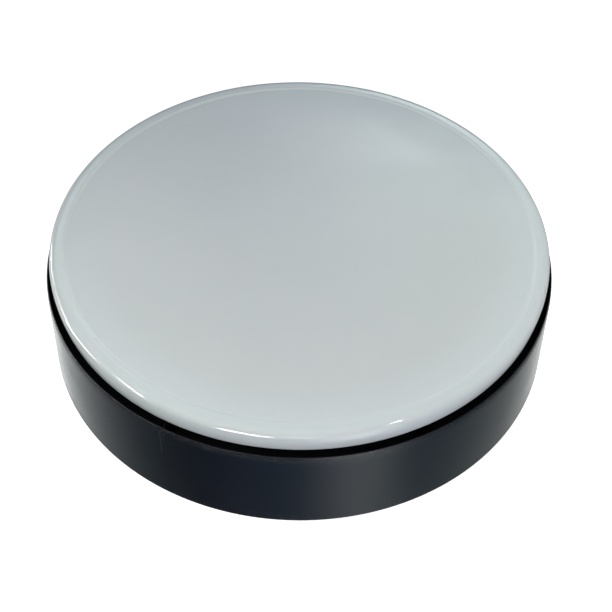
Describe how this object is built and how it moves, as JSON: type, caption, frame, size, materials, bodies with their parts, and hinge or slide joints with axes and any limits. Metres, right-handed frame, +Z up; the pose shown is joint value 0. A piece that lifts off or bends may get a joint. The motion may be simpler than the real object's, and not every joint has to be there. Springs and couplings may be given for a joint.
{
  "type": "lazy susan turntable",
  "caption": "Round glazed tray with a shallow recess and raised rim that spins without end on a caged ball bearing hidden in a black drum on rubber feet.",
  "frame": {"origin": "centre of the footprint, on the surface that the rubber feet stand on", "axes": "+Z up along the axis the tray turns about; +X to the right and -Y to the front as the object was seen, though it looks the same from every side"},
  "size_m": [0.3, 0.3, 0.0749],
  "materials": {
    "white_glaze": "gloss",
    "black_lacquer": "satin black lacquer on rolled steel",
    "deck_board": "fibreboard, stained black",
    "hardboard": "tempered hardboard",
    "zinc_sheet": "pressed, bright zinc plated",
    "zinc_screw": "bright zinc plated",
    "ball_steel": "polished",
    "cage_nylon": "natural nylon",
    "silicone": "milky silicone",
    "foot_rubber": "matte"
  },
  "bodies": {
    "drum": {"base_plate": "hardboard", "base_screw_1": "zinc_screw", "base_screw_2": "zinc_screw", "base_screw_3": "zinc_screw", "base_screw_4": "zinc_screw", "base_screw_5": "zinc_screw", "base_screw_6": "zinc_screw", "core_ring": "deck_board", "deck": "deck_board", "deck_screw_1": "zinc_screw", "deck_screw_2": "zinc_screw", "deck_screw_3": "zinc_screw", "deck_screw_4": "zinc_screw", "deck_screw_5": "zinc_screw", "deck_screw_6": "zinc_screw", "drum_band": "black_lacquer", "foot_1": "foot_rubber", "foot_2": "foot_rubber", "foot_3": "foot_rubber", "foot_4": "foot_rubber", "foot_screw_1": "zinc_screw", "foot_screw_2": "zinc_screw", "foot_screw_3": "zinc_screw", "foot_screw_4": "zinc_screw", "lower_race": "zinc_sheet", "lower_race_screw_1": "zinc_screw", "lower_race_screw_2": "zinc_screw", "lower_race_screw_3": "zinc_screw", "lower_race_screw_4": "zinc_screw"},
    "turntable": {"carrier_disc": "zinc_sheet", "tray": "white_glaze", "tray_pad_1": "silicone", "tray_pad_2": "silicone", "tray_pad_3": "silicone", "tray_pad_4": "silicone", "tray_pad_5": "silicone", "tray_pad_6": "silicone", "upper_race": "zinc_sheet", "upper_race_screw_1": "zinc_screw", "upper_race_screw_2": "zinc_screw", "upper_race_screw_3": "zinc_screw", "upper_race_screw_4": "zinc_screw"},
    "cage": {"ball_cage": "cage_nylon", "ball_01": "ball_steel", "ball_02": "ball_steel", "ball_03": "ball_steel", "ball_04": "ball_steel", "ball_05": "ball_steel", "ball_06": "ball_steel", "ball_07": "ball_steel", "ball_08": "ball_steel", "ball_09": "ball_steel", "ball_10": "ball_steel", "ball_11": "ball_steel", "ball_12": "ball_steel"}
  },
  "joints": [
    {"name": "tray_spin", "type": "hinge", "parent": "drum", "child": "turntable", "pos_m": [0, 0, 0.05105], "axis": [0, 0, 1], "continuous": true},
    {"name": "cage_spin", "type": "hinge", "parent": "drum", "child": "cage", "pos_m": [0, 0, 0.05105], "axis": [0, 0, 1], "continuous": true}
  ],
  "couplings": [
    {"joint": "cage_spin", "follows": "tray_spin", "ratio": 0.5}
  ]
}
